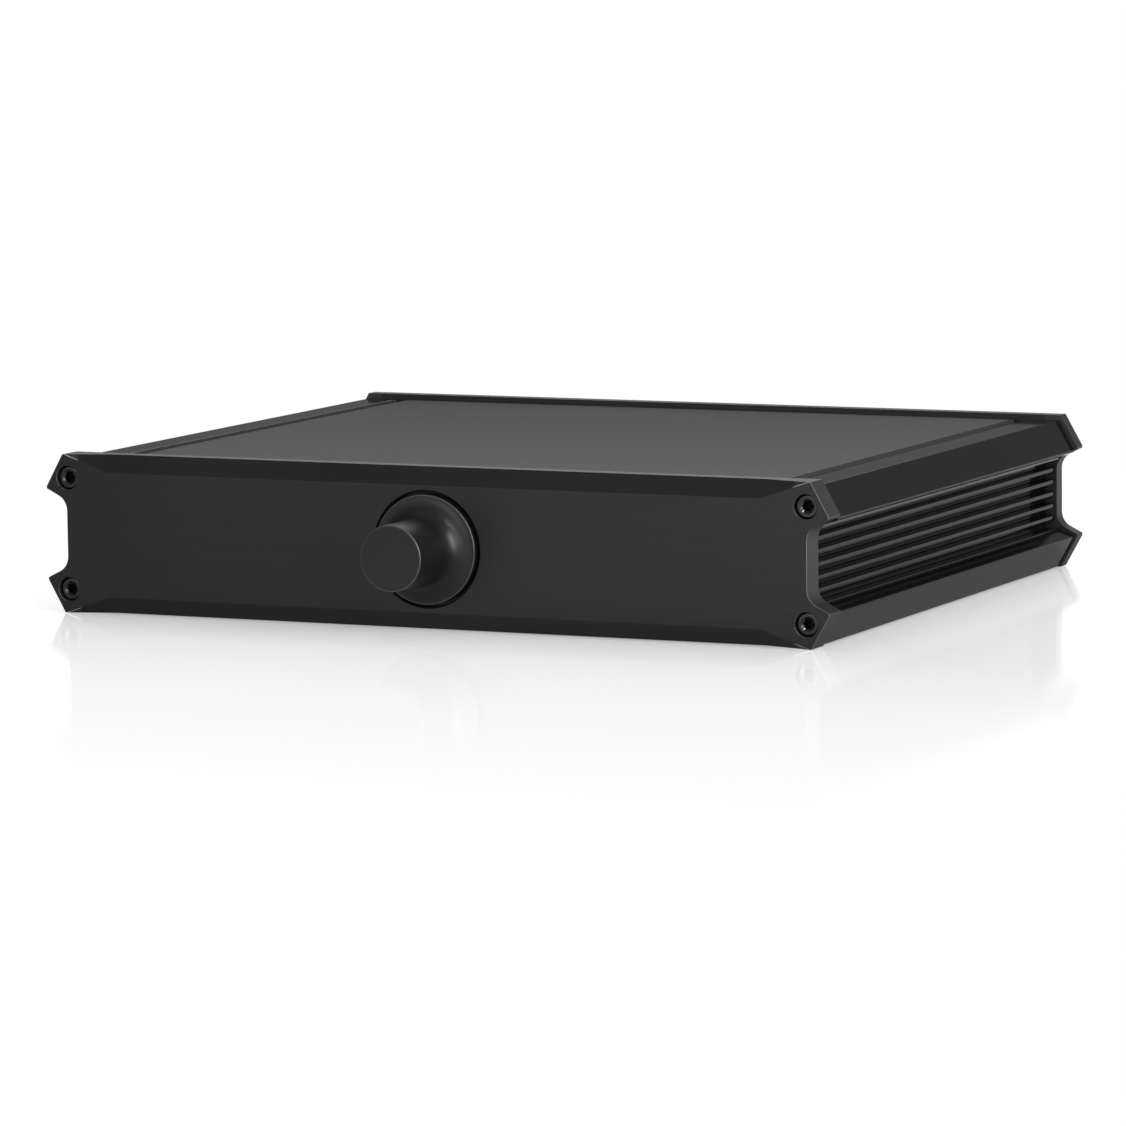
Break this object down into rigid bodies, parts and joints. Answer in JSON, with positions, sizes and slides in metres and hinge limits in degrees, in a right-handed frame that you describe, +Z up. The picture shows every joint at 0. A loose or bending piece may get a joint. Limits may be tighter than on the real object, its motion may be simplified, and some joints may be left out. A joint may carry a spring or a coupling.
{
  "type": "amplifier chassis",
  "caption": "Black aluminium amplifier case with pointed end panels, finned side profiles, a flush lid and a bell-shaped volume knob that turns on its potentiometer.",
  "frame": {"origin": "middle of the case and knob together, on the surface that the two end panels stand on", "axes": "+X to the right seen from the front, +Y from the front panel towards the rear panel, +Z up"},
  "size_m": [0.276, 0.2516, 0.052],
  "materials": {
    "panel": "horizontally brushed, black anodised",
    "profile": "satin black anodised extrusion",
    "plate": "matt black anodised sheet",
    "knob": "fine-turned, black anodised",
    "screw": "black oxide",
    "steel": "bright nickel plate",
    "brass": "turned",
    "board": "phenolic board",
    "moulding": "plain moulded"
  },
  "bodies": {
    "case": {"front_panel": "panel", "rear_panel": "panel", "left_side_profile": "profile", "right_side_profile": "profile", "top_plate": "plate", "bottom_plate": "plate", "front_screw_upper_left": "screw", "front_screw_upper_right": "screw", "front_screw_lower_left": "screw", "front_screw_lower_right": "screw", "rear_screw_upper_left": "screw", "rear_screw_upper_right": "screw", "rear_screw_lower_left": "screw", "rear_screw_lower_right": "screw", "pot_housing": "brass", "pot_washer": "steel", "pot_nut": "steel", "pot_wafer": "board", "pot_lug_left": "steel", "pot_lug_middle": "steel", "pot_lug_right": "steel", "pot_cover": "steel"},
    "knob": {"volume_knob": "knob", "knob_grub_screw": "screw", "pot_shaft": "steel", "pot_rotor": "moulding"}
  },
  "joints": [
    {"name": "volume_turn", "type": "hinge", "parent": "case", "child": "knob", "pos_m": [0, -0.10025, 0.026], "axis": [0, 1, 0], "range_deg": [-150, 150]}
  ]
}
